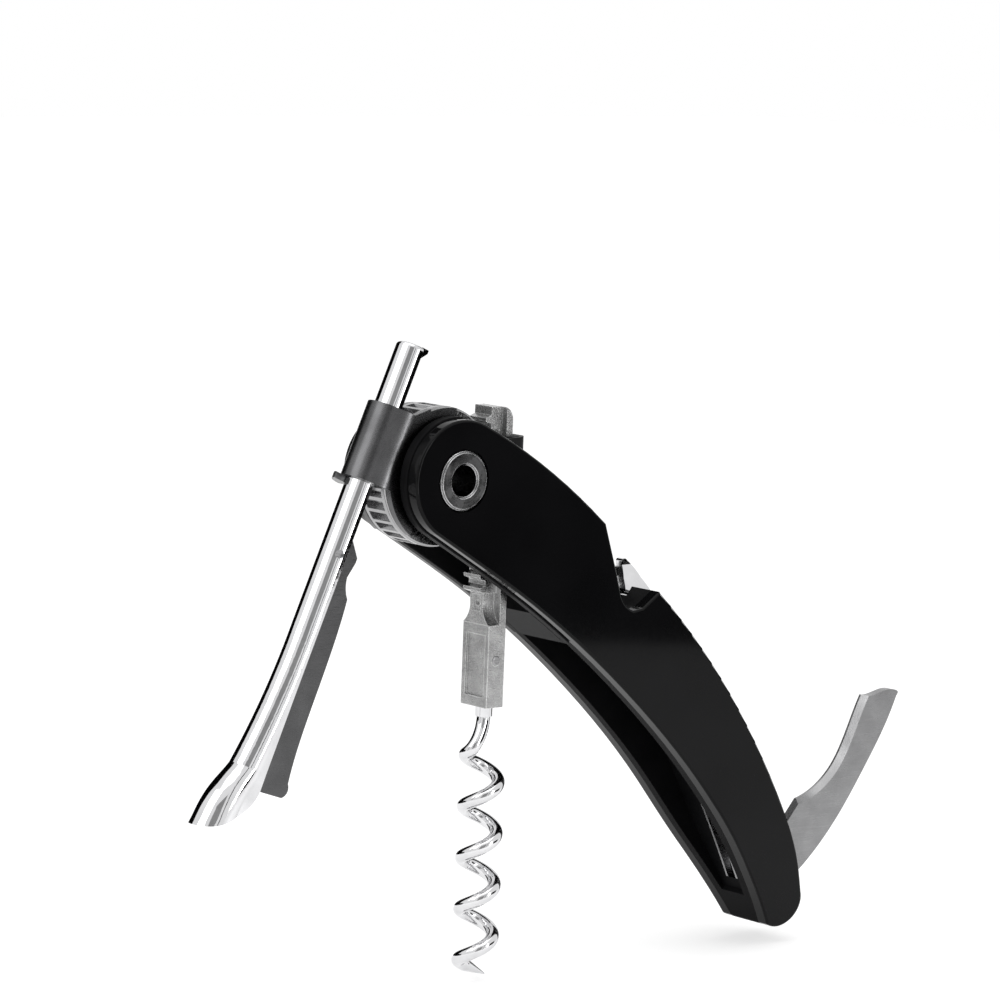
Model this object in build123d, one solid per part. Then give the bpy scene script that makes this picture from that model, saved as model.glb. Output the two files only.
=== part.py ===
from build123d import *
from math import cos, pi, radians, sin, tan
import os

os.makedirs("parts", exist_ok=True)

# Frame: X along the handle, Y along the hollow axle, Z up. The origin is the centre of the axle.
# The part stands as in use: worm straight down, lever at the bottom of its stroke. Sizes in mm.

# --- across the handle, from the middle plane out
TOOTH_HALF = 2.6            # half face width of the wheel's teeth
FLANGE_T = 1.15
FORK_GAP = 0.2              # fork arm to the wheel flange
FORK_T = 1.35
FORK_SIDE_GAP = 0.1         # guide plate to the fork arm
GUIDE_T = 0.8
GUIDE_GAP = 0.15            # guide plate to the housing wall
HOUSING_T = 2.0             # wall of the housing and the channel, inside each cheek
CHEEK_T = 2.65
WHEEL_HALF = TOOTH_HALF + FLANGE_T
FORK_IN = WHEEL_HALF + FORK_GAP
FORK_HALF = FORK_IN + FORK_T
GUIDE_IN = FORK_HALF + FORK_SIDE_GAP
GUIDE_HALF = GUIDE_IN + GUIDE_T
SLOT_HALF = GUIDE_HALF + GUIDE_GAP
CORE_HALF = SLOT_HALF + HOUSING_T
HANDLE_HALF = CORE_HALF + CHEEK_T

# --- handle: two cheeks, a housing and a spine between them
TAPER_DEG = 15.0            # inward bend of each cheek at the tail
BEND_R = 30.0               # radius of that bend
BEND_AT = (82.2, -77.3)     # a point of the bend line
BEND_DEG = -15.5            # its direction
HEAD_R = 11.5               # round head of the cheeks, about the axle
EDGE_R = 0.5                # softened outer edge of a cheek
HOUSING_PROUD = 0.3         # how far the housing stands out past the cheek edge
HOUSING_EDGE = 0.25
SPINE_T = 3.2               # back wall of the channel
CHANNEL_TOP = (36.5, -32.5) # end of the channel under the notch
CHANNEL_UNDER_LIFTER = (53.5, -36.0)
CHANNEL_BACK = (77.0, -72.0)
CHANNEL_TAIL = (85.6, -89.0)
CHANNEL_END = (84.2, -91.0) # tail end of the channel on the concave edge

HEAD_TOP_DEG = 64.8         # where the back edge leaves the head
HEAD_LOW_DEG = 239.0        # where the concave edge leaves the head
BACK_MID = (20.9, 1.4)
NOTCH_TOP = (36.4, -10.2)
NOTCH_WALL = (39.7, -19.9)
NOTCH_BEND = (40.9, -23.9)
NOTCH_CORNER = (41.8, -25.8)
NOTCH_FLOOR = (44.6, -27.75)
NOTCH_RISE = (47.0, -27.4)
NOTCH_LIP = (51.25, -24.5)
TAIL_BACK_MID = (78.6, -55.9)
TAIL_BACK = (95.9, -89.4)
TAIL_END = (94.9, -95.2)
TAIL_LOW = (88.7, -95.8)
LOW_1 = (78.3, -80.8)
LOW_2 = (63.6, -62.9)
LOW_3 = (45.4, -45.3)
LOW_4 = (18.2, -24.5)
HOUSING_END = (30.8, -34.0) # lower corner of the housing on the concave edge
HOUSING_TOP = (34.3, -8.4)  # upper end of the housing on the back edge

# --- hollow axle
BORE_R = 3.0
AXLE_R = 4.5
RING_R = 5.65
RING_T = 1.3
RING_PROUD = 0.3            # how far a ring stands out of the cheek
RING_GAP = 0.4              # dark gap round a ring in its seat
RING_EDGE = 0.35
RUN = 0.05                  # radial running clearance on the axle

# --- gear wheel and rack
WHEEL_TEETH = 32
PRESSURE_DEG = 20.0
WHEEL_R = 13.35             # outer radius of teeth and flanges
WHEEL_TIP = 0.55            # wheel tooth above the pitch line
TOOTH_DEPTH = 1.45
THINNING = 0.08             # taken off each flank for backlash
PITCH_R = WHEEL_R - WHEEL_TIP
MODULE = 2 * PITCH_R / WHEEL_TEETH
PITCH = pi * MODULE
ADDENDUM = 0.6              # rack tooth above the pitch line
TIP_GAP = 0.2
SIDE_GAP = 0.15             # rack tooth to a wheel flange
RACK_WIDER = 0.05           # rack body past the wheel flange
RACK_HALF = WHEEL_HALF + RACK_WIDER
RACK_DEPTH = 4.95           # wheel rim to the back of the rack
RACK_BACK = WHEEL_R + RACK_DEPTH
RACK_PLATE_T = 2.0
RACK_TOP = 12.5
RACK_TOP_R = 2.6
RACK_CORNER = 0.5
RACK_TEETH_UP = 4
RACK_TEETH_DOWN = 9
RIDGE_HALF = 1.9            # plain ridge under the last tooth
RIDGE_TOP = -23.4
RIDGE_PANEL = (2.4, 3.2, 0.35)  # width, height and depth of the sunk panel on the ridge
DIMPLE_R = 0.6
DIMPLE_DEPTH = 0.8
FLARE_TOP = -25.0           # where the ridge starts to widen into the carrier
CARRIER_TOP = -29.5
CARRIER_LOW = -45.5
CARRIER_GAP = 0.35          # carrier to the wheel rim
CARRIER_PANEL = (5.4, 12.0, 0.4)

# --- worm
WORM_OFF = 3.05             # wheel rim to the worm's axis
WORM_X = WHEEL_R + WORM_OFF
WORM_R = 3.25
WIRE_R = 1.35
WORM_PITCH = 10.05
WORM_START = -54.56
WORM_END = -97.18
WORM_END_DEG = 85.0
TIP_LENGTH = 5.3
TIP_R = 0.15
SHANK_DEPTH = 11.0
SHANK_GAP = 0.15
STUB_R = 1.7
STUB_LOW = -47.6
WORM_PIN_R = 1.0
WORM_PIN_OFF = 0.7          # pin axis to the worm's axis
WORM_PIN_Z = -36.3
WORM_PIN_PROUD = 0.3

# --- rack guide
LEVER_MAX_DEG = 60.0        # swing of the rack in the handle that the housing leaves free
GUIDE_TOP = 7.0
GUIDE_LOW = -8.0
GUIDE_HUB_R = 6.2
GUIDE_CORNER = 2.2
SHOE_GAP = 0.15
SHOE_T = 0.5

# --- collar: sleeve and fork
LEAN_DEG = 24.0
ROD_GAP = 0.3               # back of the rod to the wheel rim
ROD_R = 3.05
ROD_BACK_T = 0.45           # flat back of the rod behind its axis
ROD_TOP = 20.6
ROD_LOW = -64.5
ROD_LIP = 1.5               # stop lip at the back of the rod's top end
ROD_LIP_H = 2.6
SLEEVE_TOP = 7.9
SLEEVE_LOW = -7.0
SLEEVE_WALL = 1.1
SLIDE_GAP = 0.1
FORK_R = 13.2
FORK_HUB_R = 6.2
FORK_FLARE = 2.2            # from the rod axis back to where the flat of the arm begins
WHEEL_GAP = 0.35            # collar to the wheel rim
CATCH_T = 1.2
CATCH_PROUD = 1.3

# --- rod foot and jaw: heights up the rod, and shifts forward from its axis
FOOT_LOW = -78.2
FLARE_STEPS = [(-36.0, 0.0), (-50.0, 0.45), (ROD_LOW, 2.3)]
FOOT_STEPS = [(ROD_LOW, 2.3), (-68.1, 3.9), (-71.7, 5.2), (-75.3, 5.8), (FOOT_LOW - 0.7, 6.4)]
FOOT_SPREAD = 0.07          # widening of the foot for each unit of flare
LIP_CURVE = [(0.45, -67.8), (-0.5, -70.9), (-2.5, -73.6), (-5.9, -76.4), (-10.0, FOOT_LOW)]
JAW_T = 1.1
JAW_GAP = 0.2
JAW_GROOVE = 2.6
JAW_PIVOT = (-1.1, -21.5)
JAW_PIN_R = 0.8
JAW_BACK = [(-2.0, -21.5), (0.2, -61.5), (0.8, -64.7), (2.9, -67.6)]
JAW_TAB = [(-2.0, -17.1), (1.9, -17.1), (5.0, -20.4), (5.0, -21.4), (4.3, -24.4)]
JAW_NECK = [(4.3, -24.4), (4.8, -26.2), (6.2, -28.2)]
JAW_EDGE = [(6.2, -28.2), (7.0, -38.4), (7.2, -47.9), (7.7, -59.7), (8.3, -64.2)]
JAW_TOE = (8.7, -66.2)
JAW_TOE_LOW = (7.9, -67.1)

# --- tail knife and cap lifter
KNIFE_T = 2.0
KNIFE_GAP = 0.15
KNIFE_PIVOT = (89.5, -83.5)
KNIFE_PIN_R = 1.5
TANG_R = 4.4
KNIFE_REACH = 50.5
KNIFE_LINER_T = 0.5
KNIFE_HEEL = (98.6, -76.7)
KNIFE_NOTCH = (102.3, -72.4)
KNIFE_EDGE = [KNIFE_NOTCH, (107.9, -70.1), (112.2, -66.4), (115.5, -61.2), (119.9, -52.3)]
KNIFE_TOP = [(119.9, -52.3), (124.8, -51.7), (127.9, -51.6), (129.2, -52.2), (128.8, -53.0)]
KNIFE_BACK = [(128.8, -53.0), (126.0, -58.6), (120.5, -67.0), (114.0, -75.8), (102.5, -87.0)]
BEVEL = (1.5, 0.75)         # ground edge: width on the side, depth
LIFTER_LEFT = [(47.6, -28.9), (49.1, -25.6), (49.9, -23.2), (50.1, -21.0), (50.0, -19.7)]
LIFTER_TIP = (50.5, -19.2)
LIFTER_RIGHT = [(51.3, -19.5), (52.9, -20.9), (54.9, -23.8), (57.4, -29.6)]
LIFTER_BASE = [(57.4, -29.6), (56.4, -31.6), (50.0, -32.4), (47.6, -28.9)]
LIFTER_WIDTHS = [(0.9, -18.0), (0.9, -20.4), (1.7, -23.0), (3.3, -25.4), (4.6, -27.6), (4.6, -34.0)]
LIFTER_HOLE = (50.1, -26.0)
LIFTER_HOLE_SIZE = (3.4, 1.6)
LIFTER_HOLE_DEG = -20.0
DOWEL_R = 1.25
DOWELS = [(38.3, -27.5), (58.6, -35.0), (91.6, -91.6)]
DOWEL_BITE = 1.4            # depth of a dowel in each cheek

ROD_BACK = WHEEL_R + ROD_GAP
ROD_D = ROD_BACK + ROD_BACK_T       # rod axis to axle
SLEEVE_R = ROD_R + SLIDE_GAP + SLEEVE_WALL
GUIDE_BACK = RACK_BACK + SHOE_GAP + SHOE_T + GUIDE_T
KNIFE_SLOT_HALF = KNIFE_T / 2 + KNIFE_GAP


def slab(sketch, y0, y1):
    """A sketch drawn in X and Z, filled from y0 to y1."""
    return extrude(Plane.XZ.offset(-y1) * sketch, amount=y1 - y0)


def both_sides(sketch, y0, y1):
    """The same slab on the near and the far side."""
    return [slab(sketch, -y1, -y0), slab(sketch, y0, y1)]


def polar(radius, degrees):
    return (radius * cos(radians(degrees)), radius * sin(radians(degrees)))


def polygon(*points):
    return make_face(Polyline(*points, close=True))


def rod_y(radius, length_half, x=0.0, z=0.0):
    """A round bar along Y."""
    return slab(Pos(x, z) * Circle(radius), -length_half, length_half)


def curve(points, **options):
    """Smooth line through listed points."""
    return Spline(*points, **options)


def handle_face():
    """Side outline of the handle."""
    top = polar(HEAD_R, HEAD_TOP_DEG)
    low = polar(HEAD_R, HEAD_LOW_DEG)
    low_tangent = polar(1, HEAD_LOW_DEG + 90)
    lines = ThreePointArc(low, (-HEAD_R, 0), top)
    lines += ThreePointArc(top, BACK_MID, NOTCH_TOP)
    lines += Polyline(NOTCH_TOP, NOTCH_WALL, NOTCH_BEND)
    lines += ThreePointArc(NOTCH_BEND, NOTCH_CORNER, NOTCH_FLOOR)
    lines += Polyline(NOTCH_FLOOR, NOTCH_RISE, NOTCH_LIP)
    lines += ThreePointArc(NOTCH_LIP, TAIL_BACK_MID, TAIL_BACK)
    lines += ThreePointArc(TAIL_BACK, TAIL_END, TAIL_LOW)
    lines += Spline(TAIL_LOW, LOW_1, LOW_2, LOW_3, LOW_4, low,
                    tangents=[(-0.5, 0.85), (-low_tangent[0], -low_tangent[1])])
    return make_face(lines)


def bend_plane():
    """Plane across the bend line, with its x axis towards the tail."""
    along = Vector(cos(radians(BEND_DEG)), 0, sin(radians(BEND_DEG)))
    across = Vector(sin(radians(BEND_DEG)), 0, -cos(radians(BEND_DEG)))
    return Plane(origin=(BEND_AT[0], 0, BEND_AT[1]), x_dir=across, z_dir=along)


def bent_band(inner, outer):
    """Solid between two distances from the middle plane, bent in at the tail, far side."""
    reach = 150
    drop = reach * tan(radians(TAPER_DEG))
    outline = Polyline((-reach, inner), (0, inner), (reach, inner - drop),
                       (reach, outer - drop), (0, outer), (-reach, outer), close=True)
    face = make_face(outline)
    bends = [v for v in face.vertices() if abs(v.X) < 1]
    face = fillet(bends, BEND_R)
    return extrude(bend_plane() * face, amount=reach, both=True)


def between_walls(half):
    """Space between two mirrored surfaces at a distance from the middle plane."""
    side = bent_band(-HANDLE_HALF, half)
    return side & mirror(side, about=Plane.XZ)


def near(shape):
    return mirror(shape, about=Plane.XZ)


def far_cheek():
    cheek = slab(handle_face(), 0, HANDLE_HALF + 1) & bent_band(CORE_HALF, HANDLE_HALF)
    outer = cheek.faces().filter_by(lambda f: f.normal_at().Y > 0.9)
    cheek = fillet(outer.edges().filter_by(lambda e: is_rim(e, outer)), EDGE_R)
    seat = RING_T - RING_PROUD
    cheek -= rod_y(AXLE_R, HANDLE_HALF + 1)
    cheek -= slab(Circle(RING_R + RING_GAP), HANDLE_HALF - seat, HANDLE_HALF + 1)
    for bar in dowel_bars():
        cheek -= bar
    return cheek - knife_pin()


def is_rim(edge, faces):
    """True for an edge that only one of the faces has."""
    return sum(1 for f in faces for e in f.edges() if e.is_same(edge)) == 1


def half_at(x, z):
    """Half width between the cheeks at a point, past the bend."""
    across = (sin(radians(BEND_DEG)), -cos(radians(BEND_DEG)))
    w = (x - BEND_AT[0]) * across[0] + (z - BEND_AT[1]) * across[1]
    return CORE_HALF - max(0.0, w) * tan(radians(TAPER_DEG))


def dowel_bars():
    """Blind dowels that hold the cheeks on the spine."""
    return [rod_y(DOWEL_R, half_at(x, z) + DOWEL_BITE, x, z) for x, z in DOWELS]


def housing_face():
    """Outline of the housing walls: the head and the concave edge, slightly proud."""
    shift = HOUSING_PROUD * 0.7
    below = polygon((-20, -60), HOUSING_END, (10, -5), polar(HEAD_R, HEAD_TOP_DEG), (-20, 20))
    edge = (Pos(-shift, -shift) * handle_face() + Circle(HEAD_R + HOUSING_PROUD)) & below
    end = polygon((-20, -60), HOUSING_END, HOUSING_TOP, (HOUSING_TOP[0], 20), (-20, 20))
    return (handle_face() + edge) & end


def housing_web():
    """Part of the housing behind the rack that nothing sweeps."""
    sweep_r = Vector(GUIDE_BACK, GUIDE_LOW).length + 0.5
    left = WORM_X + WORM_R + WIRE_R + 0.6
    turn = radians(LEVER_MAX_DEG)
    back = RACK_BACK + 0.7
    base = Vector(back * cos(turn), -back * sin(turn))
    ahead = base + Vector(sin(turn), cos(turn)) * 60
    under = polygon((base.X, base.Y), (ahead.X, ahead.Y), (80, -60), (base.X, -60))
    keep = polygon((left, -60), (80, -60), (80, 20), (left, 20))
    return housing_face() & keep & under - Circle(sweep_r)


def is_head_rim(edge):
    """True for the long proud edges of a housing wall, round the head."""
    middle = edge.center()
    flat = edge.bounding_box().size.Y < 0.01
    return flat and edge.length > 8 and middle.X < HOUSING_END[0] - 6


def housing():
    wall = housing_face()
    parts = [fillet(side.edges().filter_by(is_head_rim), HOUSING_EDGE)
             for side in both_sides(wall, SLOT_HALF, CORE_HALF)]
    web = slab(housing_web(), -SLOT_HALF, SLOT_HALF)
    body = parts[0] + parts[1] + web
    return body - rod_y(AXLE_R, HANDLE_HALF)


def channel_face():
    """Hollow of the channel, from the housing to the tail block, open at the concave edge."""
    lines = Line(HOUSING_END, CHANNEL_TOP)
    lines += Line(CHANNEL_TOP, CHANNEL_UNDER_LIFTER)
    lines += ThreePointArc(CHANNEL_UNDER_LIFTER, CHANNEL_BACK, CHANNEL_TAIL)
    lines += Line(CHANNEL_TAIL, CHANNEL_END)
    lines += Polyline(CHANNEL_END, (CHANNEL_END[0] - 8, CHANNEL_END[1] - 4), (20, -60), HOUSING_END)
    return make_face(lines)


def knife_slot_face():
    """Slot in the spine that the knife swings into."""
    px, pz = KNIFE_PIVOT
    swing = Pos(px, pz) * Circle(KNIFE_REACH + 0.8)
    side = polygon((px - 7, pz - 3), (px + 30, pz - 9.5), (px + 60, pz + 60), (px - 60, pz + 70),
                   (px - 40, pz + 22))
    return (swing & side) + Pos(px, pz) * Circle(TANG_R + 0.5)


def lifter_solid():
    """Horn of the cap lifter: thin at its tip, spread on the floor of the notch."""
    lines = curve(LIFTER_LEFT)
    lines += ThreePointArc(LIFTER_LEFT[-1], LIFTER_TIP, LIFTER_RIGHT[0])
    lines += curve(LIFTER_RIGHT)
    lines += Polyline(*LIFTER_BASE)
    widest = LIFTER_WIDTHS[-1][0]
    horn = slab(make_face(lines), -widest, widest)
    front = [(y, z) for y, z in LIFTER_WIDTHS]
    taper = polygon(*front, *[(-y, z) for y, z in reversed(front)])
    return horn & extrude(Plane.YZ * taper, amount=120)


def lifter_hole():
    widest = LIFTER_WIDTHS[-1][0]
    hole = Pos(*LIFTER_HOLE) * Rot(0, 0, LIFTER_HOLE_DEG) * SlotOverall(*LIFTER_HOLE_SIZE)
    return slab(hole, -widest, widest)


def spine_face():
    """Outline of the spine with its channel walls."""
    end = polygon(HOUSING_END, HOUSING_TOP, (HOUSING_TOP[0], 20), (120, 20), (120, -120), (20, -120))
    return handle_face() & end


def spine():
    body = slab(spine_face(), -HANDLE_HALF, HANDLE_HALF) & between_walls(CORE_HALF)
    channel = slab(channel_face(), -HANDLE_HALF, HANDLE_HALF)
    body -= channel & between_walls(SLOT_HALF)
    slot = KNIFE_SLOT_HALF + KNIFE_LINER_T
    body -= slab(knife_slot_face(), -slot, slot)
    body -= lifter_solid()
    for bar in dowel_bars():
        body -= bar
    return body - knife_pin()


def knife_liners():
    """Steel plates that line the knife's slot."""
    face = (spine_face() - channel_face()) & knife_slot_face()
    plates = both_sides(face, KNIFE_SLOT_HALF, KNIFE_SLOT_HALF + KNIFE_LINER_T)
    return [plate - knife_pin() - lifter_solid() for plate in plates]


def cap_lifter():
    return lifter_solid() - lifter_hole()


def knife_pin():
    px, pz = KNIFE_PIVOT
    return rod_y(KNIFE_PIN_R, half_at(px, pz) + DOWEL_BITE, px, pz)


def axle_tube():
    """Hollow axle with its head on the near side."""
    face_y = HANDLE_HALF + RING_PROUD
    tube = rod_y(AXLE_R, face_y)
    head = slab(Circle(RING_R), -face_y, -face_y + RING_T)
    body = tube + head - rod_y(BORE_R, face_y + 1)
    rims = body.edges().filter_by(GeomType.CIRCLE)
    rims = rims.filter_by(lambda e: abs(e.center().Y + face_y) < 0.01)
    return chamfer(rims, RING_EDGE)


def axle_ring():
    face_y = HANDLE_HALF + RING_PROUD
    ring = slab(Circle(RING_R) - Circle(AXLE_R), face_y - RING_T, face_y)
    rims = ring.edges().filter_by(GeomType.CIRCLE)
    rims = rims.filter_by(lambda e: abs(e.center().Y - face_y) < 0.01 and e.radius > AXLE_R + 0.1)
    return chamfer(rims, RING_EDGE)


def tooth_half(depth):
    """Half thickness of a tooth at a height above the pitch line."""
    return PITCH / 4 - THINNING - depth * tan(radians(PRESSURE_DEG))


def gear_wheel():
    root = WHEEL_R - TOOTH_DEPTH
    tip_half = tooth_half(WHEEL_R - PITCH_R)
    root_half = tooth_half(root - PITCH_R)
    tooth = polygon((root - 0.3, -root_half), (root, -root_half), (WHEEL_R, -tip_half),
                    (WHEEL_R, tip_half), (root, root_half), (root - 0.3, root_half))
    face = Circle(root)
    for k in range(WHEEL_TEETH):
        face += Rot(0, 0, (k + 0.5) * 360 / WHEEL_TEETH) * tooth
    face = face & Circle(WHEEL_R)
    return slab(face - Circle(AXLE_R + RUN), -TOOTH_HALF, TOOTH_HALF)


def wheel_flanges():
    face = Circle(WHEEL_R) - Circle(AXLE_R + RUN)
    plates = []
    for plate in both_sides(face, TOOTH_HALF, WHEEL_HALF):
        side = 1 if plate.center().Y > 0 else -1
        rim = plate.edges().filter_by(GeomType.CIRCLE)
        rim = rim.filter_by(lambda e: e.radius > 10 and abs(e.center().Y - side * WHEEL_HALF) < 0.01)
        plates.append(fillet(rim, 0.4))
    return plates


def rack_tooth():
    tip = PITCH_R - ADDENDUM
    root = WHEEL_R + TIP_GAP
    tip_half = tooth_half(ADDENDUM)
    root_half = tooth_half(PITCH_R - root)
    return polygon((tip, -tip_half), (tip, tip_half), (root, root_half), (root + 0.2, root_half),
                   (root + 0.2, -root_half), (root, -root_half))


def rack():
    """Toothed bar with its T section, widening into the carrier that holds the worm."""
    root = WHEEL_R + TIP_GAP
    rib_half = TOOTH_HALF - SIDE_GAP
    carrier = WHEEL_R + CARRIER_GAP
    side = polygon((root, RACK_TOP), (RACK_BACK, RACK_TOP), (RACK_BACK, CARRIER_LOW),
                   (carrier, CARRIER_LOW), (carrier, CARRIER_TOP), (root, CARRIER_TOP))
    bar = slab(side, -RACK_HALF, RACK_HALF)
    back = bar.faces().sort_by(Axis.X)[-1].edges()
    bar = fillet(back.filter_by(lambda e: abs(e.center().Z - RACK_TOP) < 0.01), RACK_TOP_R)
    upright_edges = bar.edges().filter_by(Axis.Z)
    bar = chamfer(upright_edges.filter_by(lambda e: abs(e.center().X - RACK_BACK) < 0.01), RACK_CORNER)
    for sign in (-1, 1):
        bar -= rack_cove(sign, rib_half)
    for k in range(-RACK_TEETH_DOWN, RACK_TEETH_UP + 1):
        bar += slab(Pos(0, k * PITCH) * rack_tooth(), -rib_half, rib_half)
    bar -= sunk_panel(root, (RIDGE_TOP + FLARE_TOP) / 2 - 1.2, RIDGE_PANEL)
    bar -= Pos(root + RIDGE_PANEL[2], 0, FLARE_TOP - 0.4) * Rot(0, 90, 0) * Cylinder(DIMPLE_R, DIMPLE_DEPTH)
    bar -= sunk_panel(carrier, (CARRIER_TOP + CARRIER_LOW) / 2, CARRIER_PANEL)
    bar -= Pos(WORM_X, 0, CARRIER_LOW) * Cylinder(WIRE_R + SHANK_GAP, 2 * SHANK_DEPTH)
    return bar - pin_hole()


def sunk_panel(face_x, middle_z, size):
    """Shallow pocket in a face that looks towards the wheel."""
    width, height, depth = size
    return Pos(face_x, 0, middle_z) * Box(2 * depth, width, height)


def rack_cove(sign, rib_half):
    """Relief beside the toothed rib and its ridge, running out into the carrier."""
    deep = RACK_HALF - RIDGE_HALF
    run = FLARE_TOP - CARRIER_TOP
    wide = 2 * RACK_HALF
    outline = Polyline((sign * rib_half, RACK_TOP + 1), (sign * rib_half, RIDGE_TOP),
                       (sign * RIDGE_HALF, RIDGE_TOP), (sign * RIDGE_HALF, FLARE_TOP))
    outline += ThreePointArc((sign * RIDGE_HALF, FLARE_TOP),
                             (sign * (RIDGE_HALF + deep * 0.27), FLARE_TOP - run * 0.65),
                             (sign * RACK_HALF, CARRIER_TOP))
    outline += Polyline((sign * RACK_HALF, CARRIER_TOP), (sign * wide, CARRIER_TOP),
                        (sign * wide, RACK_TOP + 1), (sign * rib_half, RACK_TOP + 1))
    return extrude(Plane.YZ * make_face(outline), amount=RACK_BACK - RACK_PLATE_T)


def pin_hole():
    return rod_y(WORM_PIN_R, RACK_HALF + 1, WORM_X - WORM_PIN_OFF, WORM_PIN_Z)


def worm():
    """Right-hand helix on a straight shank, with a ground point."""
    turns_h = WORM_START - WORM_END
    base = Helix(WORM_PITCH, turns_h, WORM_R)
    base = Pos(WORM_X, 0, WORM_END) * Rot(0, 0, WORM_END_DEG) * base
    start, lead = base @ 0, base % 0
    finish, climb = base @ 1, base % 1
    neck = Spline(finish, (WORM_X, 0, STUB_LOW), tangents=[climb, (0, 0, 1)])
    coil = sweep(Plane(origin=start, z_dir=lead) * Circle(WIRE_R), path=base, is_frenet=True)
    bend = sweep(Plane(origin=finish, z_dir=climb) * Circle(WIRE_R), path=neck)
    shank_top = CARRIER_LOW + SHANK_DEPTH - 0.5
    shank = upright(Pos(WORM_X, 0) * Circle(WIRE_R), STUB_LOW, shank_top)
    stub = upright(Pos(WORM_X, 0) * Circle(STUB_R), STUB_LOW, CARRIER_LOW)
    point = Plane(origin=start, z_dir=lead * -1) * Pos(0, 0, TIP_LENGTH / 2)
    point = point * Cone(WIRE_R, TIP_R, TIP_LENGTH)
    return coil + bend + shank + stub + point - pin_hole()


def worm_pin():
    """Pin through the carrier and the worm's shank, with a low round head on the near side."""
    face = Pos(WORM_X - WORM_PIN_OFF, WORM_PIN_Z) * Circle(WORM_PIN_R)
    pin = slab(face, -RACK_HALF - WORM_PIN_PROUD, RACK_HALF)
    return fillet(pin.faces().sort_by(Axis.Y)[0].edges(), WORM_PIN_PROUD)


def guide_outline(back, hub):
    """Side outline of the guide, from the axle to behind the rack."""
    return Circle(hub) + polygon((0, hub), (back, GUIDE_TOP), (back, GUIDE_LOW), (0, -hub))


def back_corners(shape, radius):
    """Rounds the upright corners at the back of the guide or its shoe."""
    back = shape.faces().sort_by(Axis.X)[-1]
    return fillet(back.edges().filter_by(Axis.Z), radius)


def rack_guide():
    """Two side plates on the axle, joined behind the rack."""
    shell = back_corners(slab(guide_outline(GUIDE_BACK, GUIDE_HUB_R), -GUIDE_HALF, GUIDE_HALF),
                         GUIDE_CORNER)
    inner = GUIDE_BACK - GUIDE_T
    room = polygon((-GUIDE_BACK, -GUIDE_BACK), (inner, -GUIDE_BACK), (inner, GUIDE_BACK),
                   (-GUIDE_BACK, GUIDE_BACK))
    room = back_corners(slab(room, -GUIDE_IN, GUIDE_IN), GUIDE_CORNER - GUIDE_T)
    return shell - room - rod_y(AXLE_R + RUN, GUIDE_HALF + 1)


def guide_shoe():
    """Slide block that keeps the rack in mesh, inside the guide."""
    side_x = WHEEL_R + 1.0
    back = GUIDE_BACK - GUIDE_T
    face = polygon((side_x, GUIDE_LOW), (back, GUIDE_LOW), (back, GUIDE_TOP), (side_x, GUIDE_TOP))
    block = back_corners(slab(face, -GUIDE_IN, GUIDE_IN), GUIDE_CORNER - GUIDE_T)
    groove = polygon((0, 2 * GUIDE_LOW), (back - SHOE_T, 2 * GUIDE_LOW),
                     (back - SHOE_T, 2 * GUIDE_TOP), (0, 2 * GUIDE_TOP))
    inner = RACK_HALF + SHOE_GAP
    return block - slab(groove, -inner, inner)


def leaning(shape):
    """Turns what is drawn upright about the axle to the lean of the rod."""
    return Rot(0, LEAN_DEG, 0) * shape


def upright(face, low, high):
    """A sketch in X and Y, filled from one height to another."""
    return Pos(0, 0, low) * extrude(face, amount=high - low)


def on_rod(shape):
    """Moves what is drawn about the rod's axis to its place."""
    return leaning(Pos(-ROD_D, 0, 0) * shape)


def rod_section(grow=0.0):
    """Half-round section of the support rod about its axis, grown all round."""
    radius = ROD_R + grow
    back = ROD_BACK_T + grow
    flat = Pos(back / 2, 0) * Rectangle(back, 2 * radius)
    cut = Pos(back + radius, 0) * Rectangle(2 * radius, 3 * radius)
    return Circle(radius) + flat - cut


def sleeve_section():
    """Round nose of the collar, flowing out into the flats of the fork arms."""
    lean = polar(SLEEVE_R, 245)
    end = (FORK_FLARE, -FORK_HALF)
    flow = Spline(lean, end, tangents=[(sin(radians(65)), -cos(radians(65))), (1, 0)])
    deep = ROD_D - FORK_R * 0.7
    lines = ThreePointArc((lean[0], -lean[1]), (-SLEEVE_R, 0), lean) + flow
    lines += Polyline(end, (deep, -FORK_HALF), (deep, FORK_HALF), (end[0], FORK_HALF))
    lines += mirror(flow, about=Plane.XZ)
    return make_face(lines)


def collar():
    """Sleeve round the rod and the two fork arms that turn on the axle."""
    body = Pos(-ROD_D, 0, 0) * upright(sleeve_section(), SLEEVE_LOW, SLEEVE_TOP)
    flat = -ROD_D + FORK_FLARE
    arm = Circle(FORK_R) & Pos(-FORK_R / 2 - 3, 0) * Rectangle(FORK_R, 2.2 * FORK_R)
    arm &= Pos(flat + FORK_R, 0) * Rectangle(2 * FORK_R, 2.2 * FORK_R)
    arm += polygon((flat, SLEEVE_LOW), (flat, SLEEVE_TOP), (-8.9, 10.4), (-3, 0),
                   (-8, SLEEVE_LOW))
    arm += Circle(FORK_HUB_R)
    for plate in both_sides(arm, FORK_IN, FORK_HALF):
        body += plate
    body -= rod_y(WHEEL_R + WHEEL_GAP, FORK_IN)
    body -= Pos(-ROD_D, 0, 0) * upright(rod_section(SLIDE_GAP), SLEEVE_LOW - 1, SLEEVE_TOP + 1)
    body -= rod_y(AXLE_R + RUN, FORK_HALF + 1)
    return leaning(body)


def collar_catch():
    """Small spring catch under the sleeve."""
    outer = Circle(SLEEVE_R + CATCH_PROUD) - rod_section(SLIDE_GAP)
    side = Pos(-SLEEVE_R, SLEEVE_R) * Rectangle(2 * SLEEVE_R - 1.6, 2 * SLEEVE_R - 3.4)
    return on_rod(upright(outer & side, SLEEVE_LOW - CATCH_T, SLEEVE_LOW))


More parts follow.
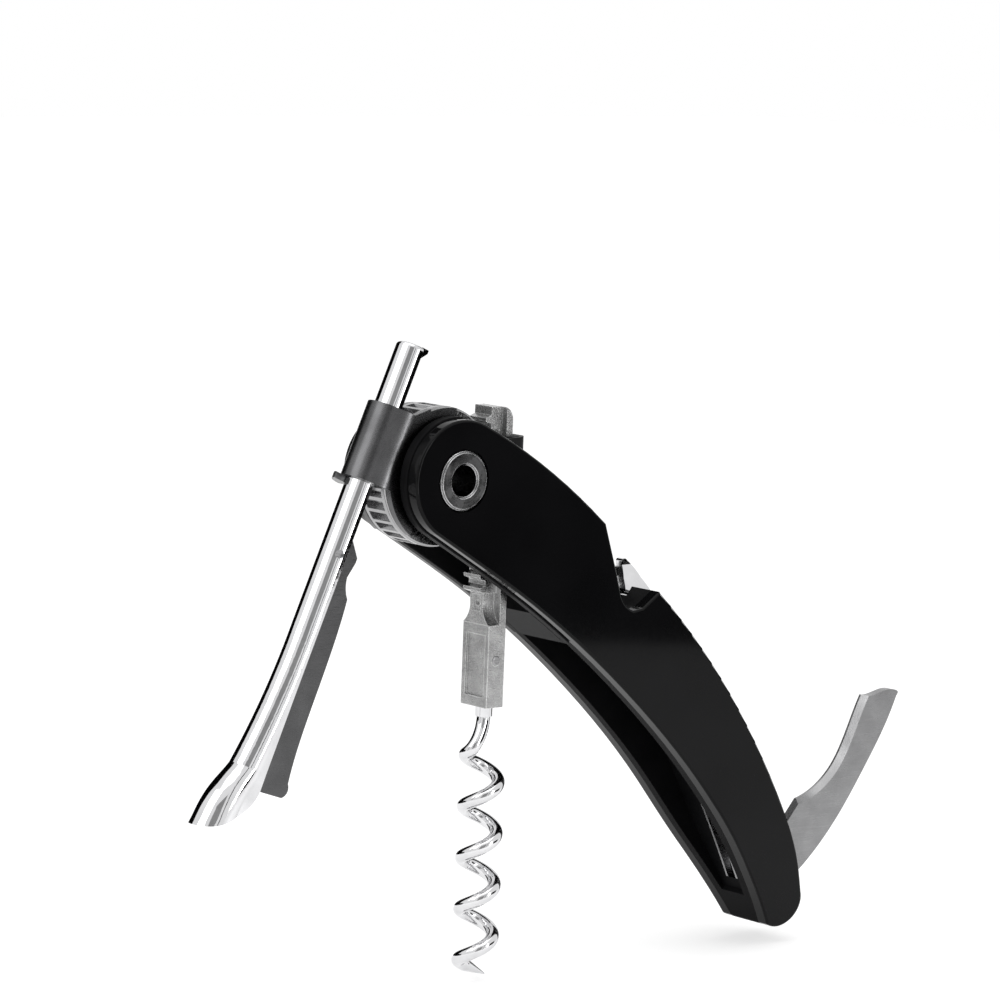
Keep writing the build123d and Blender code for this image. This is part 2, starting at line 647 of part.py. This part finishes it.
def jaw_channel():
    """Groove in the back of the rod for the jaw."""
    half = JAW_T / 2 + JAW_GAP
    return Pos(ROD_BACK_T - JAW_GROOVE / 2 + 0.5, 0) * Rectangle(JAW_GROOVE + 1, 2 * half)


def flared_solid(steps):
    """Rod section carried down through a list of heights and forward shifts."""
    faces = []
    for height, shift in steps:
        radius = ROD_R + FOOT_SPREAD * shift
        arc = ThreePointArc((-shift / 2, -radius), (-ROD_R - shift, 0), (-shift / 2, radius))
        rest = Polyline((-shift / 2, radius), (ROD_BACK_T, radius), (ROD_BACK_T, -radius),
                        (-shift / 2, -radius))
        faces.append(Pos(0, 0, height) * make_face(arc + rest))
    return loft(faces)


def support_rod():
    start = FLARE_STEPS[0][0]
    body = upright(rod_section(), start, ROD_TOP)
    top = body.edges().filter_by(lambda e: e.center().Z > ROD_TOP - 0.01 and e.center().X < 0)
    body = fillet(top, 0.8) + flared_solid(FLARE_STEPS)
    body -= upright(jaw_channel(), ROD_LOW - 1, ROD_TOP - ROD_LIP_H - 1)
    lip = polygon((ROD_BACK_T - 0.2, ROD_TOP - ROD_LIP_H), (ROD_BACK_T + ROD_LIP, ROD_TOP - 0.7),
                  (ROD_BACK_T + ROD_LIP, ROD_TOP), (ROD_BACK_T - 0.2, ROD_TOP))
    body += slab(lip, -ROD_R + 0.4, ROD_R - 0.4)
    body -= rod_y(JAW_PIN_R, ROD_R + 1, *JAW_PIVOT)
    return on_rod(body)


def rod_foot():
    """Shoe that stands on the lip of the bottle, cut to the lip."""
    far = LIP_CURVE[-1]
    lines = Line((ROD_BACK_T, ROD_LOW), LIP_CURVE[0]) + curve(LIP_CURVE)
    lines += Polyline(far, (far[0] - 5, far[1]), (far[0] - 5, ROD_LOW), (ROD_BACK_T, ROD_LOW))
    shoe = flared_solid(FOOT_STEPS) & slab(make_face(lines), -20, 20)
    return on_rod(shoe - upright(jaw_channel(), LIP_CURVE[0][1] - 1, ROD_LOW + 1))


def jaw_pin():
    half = (ROD_R ** 2 - JAW_PIVOT[0] ** 2) ** 0.5
    return on_rod(rod_y(JAW_PIN_R, half - 0.4, *JAW_PIVOT))


def lip_jaw():
    """Flat jaw hung in the back of the rod, with a tab above its neck."""
    lines = Polyline(*JAW_TAB) + curve(JAW_NECK) + curve(JAW_EDGE)
    lines += ThreePointArc(JAW_EDGE[-1], JAW_TOE, JAW_TOE_LOW)
    lines += Line(JAW_TOE_LOW, JAW_BACK[-1])
    lines += Polyline(*reversed(JAW_BACK), JAW_TAB[0])
    body = slab(make_face(lines), -JAW_T / 2, JAW_T / 2)
    return on_rod(body - rod_y(JAW_PIN_R + RUN, JAW_T, *JAW_PIVOT))


def knife_face():
    """Curved foil knife, drawn open."""
    px, pz = KNIFE_PIVOT
    lines = Polyline((px + 1.0, pz + TANG_R), KNIFE_HEEL, KNIFE_NOTCH)
    lines += curve(KNIFE_EDGE)
    lines += curve(KNIFE_TOP)
    lines += curve(KNIFE_BACK)
    lines += Line(KNIFE_BACK[-1], (px + 1.0, pz - TANG_R))
    lines += ThreePointArc((px + 1.0, pz - TANG_R), (px - TANG_R, pz), (px + 1.0, pz + TANG_R))
    return make_face(lines)


def tail_knife():
    px, pz = KNIFE_PIVOT
    blade = slab(knife_face(), -KNIFE_T / 2, KNIFE_T / 2)
    for side in blade.faces().filter_by(Axis.Y):
        edges = side.edges().filter_by(lambda e: is_cutting(e))
        blade = chamfer(edges, BEVEL[1], BEVEL[0], reference=side)
    return blade - rod_y(KNIFE_PIN_R + RUN, KNIFE_T, px, pz)


def is_cutting(edge):
    """True for the long inner edge of the blade."""
    middle = edge @ 0.5
    return edge.length > 20 and abs(middle.X - KNIFE_EDGE[2][0]) < 4 and abs(middle.Z - KNIFE_EDGE[2][1]) < 4


NODES = {
    "far_cheek": far_cheek,
    "near_cheek": lambda: near(far_cheek()),
    "housing": housing,
    "spine": spine,
    "cheek_dowels": dowel_bars,
    "cap_lifter": cap_lifter,
    "axle_tube": axle_tube,
    "axle_ring": axle_ring,
    "knife_pin": knife_pin,
    "knife_liners": knife_liners,
    "tail_knife": tail_knife,
    "rack_guide": rack_guide,
    "guide_shoe": guide_shoe,
    "gear_wheel": gear_wheel,
    "wheel_flanges": wheel_flanges,
    "rack": rack,
    "worm": worm,
    "worm_pin": worm_pin,
    "collar": collar,
    "collar_catch": collar_catch,
    "support_rod": support_rod,
    "rod_foot": rod_foot,
    "jaw_pin": jaw_pin,
    "lip_jaw": lip_jaw,
}


def main():
    for name, make in NODES.items():
        made = make()
        if isinstance(made, list):
            made = Compound(children=made)
        export_step(made, f"parts/{name}.step")
        box = made.bounding_box()
        print(f"{name:14s} volume {made.volume:9.2f} {box.min} {box.max}")


if __name__ == "__main__":
    main()
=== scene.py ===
import math

import bpy
from bpy.props import FloatProperty, FloatVectorProperty, PointerProperty
from mathutils import Matrix, Quaternion, Vector


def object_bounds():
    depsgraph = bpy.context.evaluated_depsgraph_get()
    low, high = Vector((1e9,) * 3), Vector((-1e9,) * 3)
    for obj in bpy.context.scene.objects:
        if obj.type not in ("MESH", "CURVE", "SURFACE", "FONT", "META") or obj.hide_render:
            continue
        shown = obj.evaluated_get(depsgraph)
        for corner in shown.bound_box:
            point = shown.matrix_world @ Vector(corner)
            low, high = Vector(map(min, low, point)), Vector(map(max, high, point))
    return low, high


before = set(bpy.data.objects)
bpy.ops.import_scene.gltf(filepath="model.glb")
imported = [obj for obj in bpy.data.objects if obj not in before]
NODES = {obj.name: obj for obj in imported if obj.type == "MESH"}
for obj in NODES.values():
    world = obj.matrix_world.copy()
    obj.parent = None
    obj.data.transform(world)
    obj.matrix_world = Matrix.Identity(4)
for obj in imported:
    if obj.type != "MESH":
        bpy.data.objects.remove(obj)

bl_info = {
    "name": "Lever corkscrew",
    "version": (1, 0, 0),
    "blender": (4, 5, 0),
    "location": "3D View > Sidebar > Corkscrew",
    "description": "Finishes and stage for a lever corkscrew with a geared worm rack",
    "category": "Object",
}

CAD_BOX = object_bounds()

WHITE = (1.0, 1.0, 1.0, 1.0)
EDGE_HIGHLIGHT_REACH = 0.0003  # reach of the painted highlight on sharp edges
SCRATCH = 0.00002  # depth of scratches and ripples

FLOOR_SIZE = 6.0
MIDDLE = (0.0, 0.0, -0.03)  # of the tool, which the softboxes look at
SLEEVE = (-0.02, -0.005, 0.0)  # of the collar, which the strip looks at

# name, place, aim, width and height, power in watts
LAMPS = (
    ("top softbox", (-0.1, -0.1, 0.7), MIDDLE, (0.7, 0.7), 1.5),
    ("left softbox", (-0.58, 0.0, 0.46), MIDDLE, (0.5, 0.4), 1.1),
    ("right strip", (0.06, -0.22, 0.0), SLEEVE, (0.035, 0.12), 0.1),
)

# name, finish, bearing from the axle in degrees, distance, width, rise of the foot above the
# floor, height, lean to the side in degrees
CARDS = (
    ("near card", "black", -52.5, 0.45, 0.26, 0.013, 0.14, -16.7),
    ("strip card", "black", -97.0, 0.50, 0.028, 0.0, 0.5, 0.0),
    ("front card", "grey", -121.0, 1.15, 0.62, 0.0, 0.9, 0.0),
    ("left card", "black", 130.0, 0.42, 0.30, 0.0, 0.11, 0.0),
    ("back left card", "black", 97.0, 0.40, 0.38, 0.0, 0.5, 0.0),
    ("back right card", "black", 5.0, 0.40, 0.14, 0.0, 0.5, 0.0),
)
CARD_LEVELS = {"black": 0.002, "grey": 0.5}

CAMERA_TURN = math.radians(-40)
CAMERA_RISE = math.radians(7)
CAMERA_ROLL = math.radians(2.0)
CAMERA_LENS = 162.2
CAMERA_SHIFT = (0.0734, -0.0257)


def colour(name, description, default):
    return FloatVectorProperty(name=name, description=description, default=default,
                               subtype="COLOR", size=3, min=0.0, max=1.0)


class CorkscrewColours(bpy.types.PropertyGroup):
    lacquer: colour("Lacquer", "Gloss lacquer of the handle plates", (0.0035, 0.0035, 0.0038))
    housing: colour("Housing", "Satin coating of the inner housing and the spine",
                    (0.004, 0.004, 0.0043))
    collar: colour("Collar", "Satin plating of the collar", (0.08, 0.08, 0.082))
    chrome: colour("Chrome", "Polished plating of the leg, worm and wheel", (0.72, 0.72, 0.73))
    casting: colour("Casting", "Plated casting of the rack", (0.5, 0.5, 0.5))
    steel: colour("Steel", "Bare satin steel of the knife and the rings", (0.36, 0.36, 0.365))
    jaw: colour("Jaw", "Dark satin steel of the lip jaw", (0.1, 0.1, 0.102))
    floor: colour("Floor", "Studio floor", (0.9, 0.9, 0.9))


class CorkscrewSizes(bpy.types.PropertyGroup):
    grain: FloatProperty(name="Grain", description="Size of the grain in the satin coatings",
                         default=0.00012, unit="LENGTH", min=0.00002, max=0.002, precision=5)
    brush: FloatProperty(name="Brush line", description="Spacing of the lines in brushed steel",
                         default=0.00016, unit="LENGTH", min=0.00002, max=0.002, precision=5)
    floor_gap: FloatProperty(name="Floor gap", description="Air under the tip of the worm",
                             default=0.0006, unit="LENGTH", min=0.0, max=0.05, precision=4)
    room_light: FloatProperty(name="Room light", description="Level of the room on dull surfaces",
                              default=0.65, min=0.0, max=2.0)
    floor_glow: FloatProperty(name="Floor glow", description="White added to the floor as seen",
                              default=0.4, min=0.0, max=2.0)
    eye: FloatProperty(name="Eye distance", description="Distance of the camera from the axle",
                       default=0.85, unit="LENGTH", min=0.3, max=3.0)


class Finish:
    """A node material being built, with short ways to add and link its nodes."""

    def __init__(self, name):
        self.material = bpy.data.materials.new(name)
        self.material.use_nodes = True
        self.tree = self.material.node_tree
        self.shader = self.tree.nodes["Principled BSDF"]

    def node(self, kind, **sockets):
        made = self.tree.nodes.new(kind)
        for name, value in sockets.items():
            self.put(made, name, value)
        return made

    def put(self, node, name, value):
        if isinstance(value, bpy.types.NodeSocket):
            self.tree.links.new(value, node.inputs[name])
        else:
            node.inputs[name].default_value = value

    def set(self, **sockets):
        for name, value in sockets.items():
            self.put(self.shader, name.replace("_", " "), value)

    def where(self):
        return self.node("ShaderNodeTexCoord").outputs["Object"]

    def place(self, scale=(1, 1, 1), turn=(0, 0, 0)):
        mapping = self.node("ShaderNodeMapping", Vector=self.where(), Scale=scale, Rotation=turn)
        return mapping.outputs["Vector"]

    def noise(self, size, detail=3.0, roughness=0.5, where=None):
        """Noise with patches of a size in metres."""
        where = where or self.place()
        made = self.node("ShaderNodeTexNoise", Vector=where, Scale=1.0 / size, Detail=detail,
                         Roughness=roughness)
        return made.outputs["Fac"]

    def spread(self, value, low, high, start=0.3, stop=0.7):
        """From low to high while a value goes from start to stop."""
        made = self.node("ShaderNodeMapRange", Value=value)
        made.inputs["From Min"].default_value = start
        made.inputs["From Max"].default_value = stop
        made.inputs["To Min"].default_value = low
        made.inputs["To Max"].default_value = high
        return made.outputs["Result"]

    def blend(self, amount, first, second):
        """From the first colour at 0 to the second at 1."""
        made = self.tree.nodes.new("ShaderNodeMix")
        made.data_type = "RGBA"
        self.put(made, 0, amount)
        for slot, value in ((6, first), (7, second)):
            is_socket = isinstance(value, bpy.types.NodeSocket)
            self.put(made, slot, value if is_socket else (*value, 1.0))
        return made.outputs[2]

    def mottle(self, cloud, first, second):
        """Patches of two colours where a noise is low and high."""
        return self.blend(self.spread(cloud, 0.0, 1.0), first, second)

    def edges(self):
        """1 on sharp edges, where a highlight is painted, 0 on faces."""
        round_off = self.node("ShaderNodeBevel", Radius=EDGE_HIGHLIGHT_REACH)
        flat = self.node("ShaderNodeNewGeometry")
        match = self.node("ShaderNodeVectorMath")
        match.operation = "DOT_PRODUCT"
        self.put(match, 0, round_off.outputs["Normal"])
        self.put(match, 1, flat.outputs["Normal"])
        return self.spread(match.outputs["Value"], 1.0, 0.0, 0.9, 0.995)

    def bump(self, height, depth, strength):
        made = self.node("ShaderNodeBump", Height=height, Distance=depth, Strength=strength)
        return made.outputs["Normal"]


def ray_level(tree, seen, other):
    """One level for camera, mirror and see-through rays, and another for the rest."""
    paths = tree.nodes.new("ShaderNodeLightPath")
    total = paths.outputs["Is Camera Ray"]
    for kind in ("Is Glossy Ray", "Is Transmission Ray"):
        add = tree.nodes.new("ShaderNodeMath")
        add.operation = "MAXIMUM"
        tree.links.new(total, add.inputs[0])
        tree.links.new(paths.outputs[kind], add.inputs[1])
        total = add.outputs[0]
    level = tree.nodes.new("ShaderNodeMapRange")
    tree.links.new(total, level.inputs["Value"])
    level.inputs["To Min"].default_value = other
    level.inputs["To Max"].default_value = seen
    return level.outputs["Result"]


def tint(base, factor):
    return tuple(min(1.0, channel * factor) for channel in base)


def dress(material, *nodes):
    """Puts a finish on all the slots of CAD nodes."""
    for name in nodes:
        mesh = NODES[name].data
        mesh.materials.clear()
        mesh.materials.append(material)


def lacquer(base):
    """Black gloss with faint dust and a slow ripple."""
    finish = Finish("gloss lacquer")
    dust = finish.noise(0.0011, 5.0, 0.6)
    cloud = finish.noise(0.018, 2.0, 0.5)
    finish.set(Base_Color=finish.mottle(cloud, base, tint(base, 1.5)))
    finish.set(Roughness=finish.spread(dust, 0.05, 0.08, 0.35, 0.75), Specular_IOR_Level=0.1)
    finish.set(Normal=finish.bump(finish.noise(0.012, 1.0), SCRATCH, 0.25))
    return finish.material


def satin_coating(name, base, grain, roughness, specular, metallic=0.0):
    """A fine even grain over slow clouds."""
    finish = Finish(name)
    fine = finish.noise(grain, 2.0, 0.6)
    cloud = finish.noise(grain * 60, 3.0)
    finish.set(Base_Color=finish.mottle(cloud, base, tint(base, 1.6)))
    finish.set(Roughness=finish.spread(fine, roughness - 0.05, roughness + 0.1))
    finish.set(Specular_IOR_Level=specular, Metallic=metallic)
    finish.set(Normal=finish.bump(fine, grain * 0.12, 0.6))
    return finish.material


def polished_chrome(name, base, roughness):
    """Bright plating with a little haze and fine marks."""
    finish = Finish(name)
    haze = finish.noise(0.004, 4.0, 0.6)
    marks = finish.noise(0.0004, 3.0, 0.7)
    finish.set(Base_Color=finish.mottle(haze, base, tint(base, 0.88)))
    finish.set(Roughness=finish.spread(marks, roughness * 0.6, roughness * 1.8), Metallic=1.0)
    finish.set(Normal=finish.bump(finish.noise(0.0022, 2.0), SCRATCH, 0.6))
    return finish.material


def cast_metal(name, base, grain, roughness=0.25):
    """Plated casting with small pits, and a highlight painted on its edges."""
    finish = Finish(name)
    pits = finish.noise(grain * 2, 4.0, 0.7)
    cloud = finish.noise(0.003, 3.0)
    body = finish.mottle(cloud, base, tint(base, 0.7))
    # painted highlight: the colour is lighter on the sharp edges than on the faces
    finish.set(Base_Color=finish.blend(finish.edges(), body, tint(base, 1.8)))
    finish.set(Roughness=finish.spread(pits, roughness - 0.08, roughness + 0.12), Metallic=1.0)
    finish.set(Normal=finish.bump(pits, 3 * SCRATCH, 0.7))
    return finish.material


def brushed_steel(name, base, line, turn=0.0, roughness=0.3):
    """Steel brushed along X, or along a line turned about Y by an angle in degrees."""
    finish = Finish(name)
    along = finish.place(scale=(0.03, 1.0, 1.0), turn=(0, math.radians(turn), 0))
    lines = finish.noise(line, 2.0, 0.7, along)
    cloud = finish.noise(0.005, 3.0)
    finish.set(Base_Color=finish.mottle(cloud, base, tint(base, 0.8)))
    finish.set(Roughness=finish.spread(lines, roughness - 0.08, roughness + 0.1), Metallic=1.0)
    finish.set(Normal=finish.bump(lines, SCRATCH, 0.5))
    return finish.material


def turned_steel(name, base, line, roughness=0.24):
    """Steel with the fine rings that a lathe leaves about the axle, and a highlight painted on
    its edges.
    """
    finish = Finish(name)
    where = finish.node("ShaderNodeSeparateXYZ", Vector=finish.where()).outputs
    across = finish.node("ShaderNodeCombineXYZ", X=where["X"], Y=where["Z"])
    reach = finish.node("ShaderNodeVectorMath")
    reach.operation = "LENGTH"
    finish.put(reach, 0, across.outputs["Vector"])
    ring = finish.node("ShaderNodeCombineXYZ", X=reach.outputs["Value"])
    lines = finish.noise(line, 3.0, 0.7, ring.outputs["Vector"])
    cloud = finish.noise(0.002, 3.0)
    body = finish.mottle(lines, tint(base, 1.25), tint(base, 0.7))
    # painted highlight: the sharp edges are seven times lighter than the body
    finish.set(Base_Color=finish.blend(finish.edges(), body, tint(base, 7.0)))
    finish.set(Roughness=finish.spread(cloud, roughness - 0.06, roughness + 0.08), Metallic=1.0)
    finish.set(Normal=finish.bump(lines, 1.5 * SCRATCH, 0.5))
    return finish.material


class CorkscrewOperator:
    bl_options = {"REGISTER", "UNDO"}

    @property
    def colours(self):
        return bpy.context.scene.corkscrew_colours

    @property
    def sizes(self):
        return bpy.context.scene.corkscrew_sizes


class CORKSCREW_OT_handle(CorkscrewOperator, bpy.types.Operator):
    """Lacquers the two handle plates and coats the housing and the spine"""

    bl_idname = "corkscrew.handle"
    bl_label = "Handle"

    def execute(self, context):
        dress(lacquer(self.colours.lacquer), "near_cheek", "far_cheek")
        dress(satin_coating("satin housing", self.colours.housing, self.sizes.grain,
                            roughness=0.45, specular=0.04), "housing")
        dress(satin_coating("satin spine", self.colours.housing, self.sizes.grain,
                            roughness=0.5, specular=0.03), "spine")
        dress(brushed_steel("dowel steel", self.colours.steel, self.sizes.brush),
              "cheek_dowels", "knife_pin", "worm_pin", "jaw_pin")
        dress(brushed_steel("liner steel", self.colours.steel, self.sizes.brush), "knife_liners")
        return {"FINISHED"}


class CORKSCREW_OT_axle(CorkscrewOperator, bpy.types.Operator):
    """Turns fine rings on the hollow axle and paints a highlight on its edges"""

    bl_idname = "corkscrew.axle"
    bl_label = "Axle"

    def execute(self, context):
        dress(turned_steel("turned steel", tint(self.colours.steel, 0.38), self.sizes.brush),
              "axle_tube", "axle_ring")
        return {"FINISHED"}


class CORKSCREW_OT_wheel(CorkscrewOperator, bpy.types.Operator):
    """Plates the gear wheel and its flanges"""

    bl_idname = "corkscrew.wheel"
    bl_label = "Gear wheel"

    def execute(self, context):
        dress(polished_chrome("wheel plating", tint(self.colours.chrome, 0.5), roughness=0.18),
              "gear_wheel", "wheel_flanges")
        return {"FINISHED"}


class CORKSCREW_OT_rack(CorkscrewOperator, bpy.types.Operator):
    """Gives the rack its plated casting, and the guide its coating"""

    bl_idname = "corkscrew.rack"
    bl_label = "Rack and guide"

    def execute(self, context):
        dress(cast_metal("plated casting", self.colours.casting, self.sizes.grain), "rack")
        dress(satin_coating("guide coating", self.colours.housing, self.sizes.grain,
                            roughness=0.4, specular=0.14), "rack_guide")
        dress(satin_coating("slide block", self.colours.housing, self.sizes.grain,
                            roughness=0.5, specular=0.12), "guide_shoe")
        return {"FINISHED"}


class CORKSCREW_OT_worm(CorkscrewOperator, bpy.types.Operator):
    """Plates the worm"""

    bl_idname = "corkscrew.worm"
    bl_label = "Worm"

    def execute(self, context):
        dress(polished_chrome("worm plating", self.colours.chrome, roughness=0.08), "worm")
        return {"FINISHED"}


class CORKSCREW_OT_collar(CorkscrewOperator, bpy.types.Operator):
    """Plates the collar and its catch"""

    bl_idname = "corkscrew.collar"
    bl_label = "Collar"

    def execute(self, context):
        dress(satin_coating("collar plating", self.colours.collar, self.sizes.grain,
                            roughness=0.24, specular=0.5, metallic=1.0), "collar")
        dress(brushed_steel("catch steel", tint(self.colours.steel, 0.4), self.sizes.brush),
              "collar_catch")
        return {"FINISHED"}


class CORKSCREW_OT_leg(CorkscrewOperator, bpy.types.Operator):
    """Polishes the leg and its foot, and darkens the jaw"""

    bl_idname = "corkscrew.leg"
    bl_label = "Leg"

    def execute(self, context):
        dress(polished_chrome("leg plating", self.colours.chrome, roughness=0.05),
              "support_rod", "rod_foot")
        dress(brushed_steel("jaw steel", self.colours.jaw, self.sizes.brush / 2,
                            turn=66), "lip_jaw")
        return {"FINISHED"}


class CORKSCREW_OT_blades(CorkscrewOperator, bpy.types.Operator):
    """Finishes the tail knife and the cap claw"""

    bl_idname = "corkscrew.blades"
    bl_label = "Knife and cap claw"

    def execute(self, context):
        dress(brushed_steel("knife steel", tint(self.colours.steel, 0.85), self.sizes.brush,
                            turn=50), "tail_knife")
        dress(polished_chrome("claw plating", self.colours.chrome, roughness=0.08), "cap_lifter")
        return {"FINISHED"}


def lamp(name, place, aim, size, power):
    """A soft lamp that looks at a point."""
    data = bpy.data.lights.new(name, "AREA")
    data.shape = "RECTANGLE"
    data.size, data.size_y = size
    data.energy = power
    made = bpy.data.objects.new(name, data)
    bpy.context.scene.collection.objects.link(made)
    made.location = place
    made.rotation_mode = "QUATERNION"
    made.rotation_quaternion = (Vector(aim) - Vector(place)).to_track_quat("-Z", "Y")


def plane(name, material, size, place=(0, 0, 0)):
    bpy.ops.object.select_all(action="DESELECT")
    bpy.ops.mesh.primitive_plane_add(size=size, location=place)
    made = bpy.context.object
    made.name = name
    made.data.materials.append(material)
    return made


def card(name, material, bearing, foot, size, tilt):
    """A card that faces the axle and shows only in reflections; foot is its reach and height."""
    made = plane(name, material, 1.0)
    reach, rise = foot
    turn = math.radians(bearing)
    place = Matrix.Translation((reach * math.cos(turn), reach * math.sin(turn), rise))
    facing = Matrix.Rotation(turn + math.pi / 2, 4, "Z") @ Matrix.Rotation(math.pi / 2, 4, "X")
    lean = Matrix.Rotation(math.radians(tilt), 4, "Z") @ Matrix.Translation((0, size[1] / 2, 0))
    made.data.transform(place @ facing @ lean @ Matrix.Diagonal((*size, 1.0, 1.0)))
    made.visible_camera = made.visible_diffuse = made.visible_shadow = False


def card_finish(name, level):
    finish = Finish(name)
    finish.set(Base_Color=(level, level, level, 1.0), Roughness=1.0, Specular_IOR_Level=0.0)
    return finish.material


def floor_finish(base, glow):
    """A dull floor that glows for the rays that see it, so that it stays white."""
    finish = Finish("studio floor")
    finish.set(Base_Color=(*base, 1.0), Roughness=0.9)
    light = finish.node("ShaderNodeEmission", Strength=ray_level(finish.tree, glow, 0.0))
    both = finish.node("ShaderNodeAddShader")
    finish.put(both, 0, finish.shader.outputs[0])
    finish.put(both, 1, light.outputs[0])
    finish.put(finish.tree.nodes["Material Output"], 0, both.outputs[0])
    return finish.material


def room(level):
    """A white room that lights dull surfaces at a lower level."""
    world = bpy.data.worlds.new("studio")
    bpy.context.scene.world = world
    world.use_nodes = True
    sky = world.node_tree.nodes["Background"]
    sky.inputs["Color"].default_value = WHITE
    world.node_tree.links.new(ray_level(world.node_tree, 1.0, level), sky.inputs["Strength"])


def camera(distance):
    data = bpy.data.cameras.new("camera")
    data.lens = CAMERA_LENS
    data.sensor_width = 36.0
    data.shift_x, data.shift_y = CAMERA_SHIFT
    made = bpy.data.objects.new("camera", data)
    bpy.context.scene.collection.objects.link(made)
    back = Vector((math.sin(CAMERA_TURN) * math.cos(CAMERA_RISE),
                   -math.cos(CAMERA_TURN) * math.cos(CAMERA_RISE), math.sin(CAMERA_RISE)))
    made.location = back * distance
    made.rotation_mode = "QUATERNION"
    level = (-back).to_track_quat("-Z", "Y")
    made.rotation_quaternion = level @ Quaternion((0, 0, 1), CAMERA_ROLL)
    bpy.context.scene.camera = made


class CORKSCREW_OT_stage(CorkscrewOperator, bpy.types.Operator):
    """Lays the pale floor and sets up the cards, the lamps and the camera"""

    bl_idname = "corkscrew.stage"
    bl_label = "Stage"

    def execute(self, context):
        low = CAD_BOX[0].z - self.sizes.floor_gap
        plane("floor", floor_finish(self.colours.floor, self.sizes.floor_glow),
                       FLOOR_SIZE, (0, 0, low))
        room(self.sizes.room_light)
        finishes = {name: card_finish(f"{name} card", level)
                    for name, level in CARD_LEVELS.items()}
        for name, finish, bearing, reach, width, foot, height, tilt in CARDS:
            card(name, finishes[finish], bearing, (reach, low + foot), (width, height), tilt)
        for row in LAMPS:
            lamp(*row)
        camera(self.sizes.eye)
        context.scene.view_settings.view_transform = "Standard"
        return {"FINISHED"}


class CORKSCREW_PT_panel(bpy.types.Panel):
    bl_label = "Lever corkscrew"
    bl_idname = "CORKSCREW_PT_panel"
    bl_space_type = "VIEW_3D"
    bl_region_type = "UI"
    bl_category = "Corkscrew"

    def draw(self, context):
        for step in STEPS:
            self.layout.operator(step.bl_idname)
        for group in (context.scene.corkscrew_colours, context.scene.corkscrew_sizes):
            for name in type(group).__annotations__:
                self.layout.prop(group, name)


STEPS = (
    CORKSCREW_OT_handle,
    CORKSCREW_OT_axle,
    CORKSCREW_OT_wheel,
    CORKSCREW_OT_rack,
    CORKSCREW_OT_worm,
    CORKSCREW_OT_collar,
    CORKSCREW_OT_leg,
    CORKSCREW_OT_blades,
    CORKSCREW_OT_stage,
)
CLASSES = (CorkscrewColours, CorkscrewSizes, *STEPS, CORKSCREW_PT_panel)


def register():
    for made in CLASSES:
        bpy.utils.register_class(made)
    bpy.types.Scene.corkscrew_colours = PointerProperty(type=CorkscrewColours)
    bpy.types.Scene.corkscrew_sizes = PointerProperty(type=CorkscrewSizes)


def unregister():
    del bpy.types.Scene.corkscrew_sizes
    del bpy.types.Scene.corkscrew_colours
    for made in reversed(CLASSES):
        bpy.utils.unregister_class(made)


def main():
    register()
    for step in STEPS:
        group, name = step.bl_idname.split(".")
        getattr(getattr(bpy.ops, group), name)()


if __name__ == "__main__":
    main()
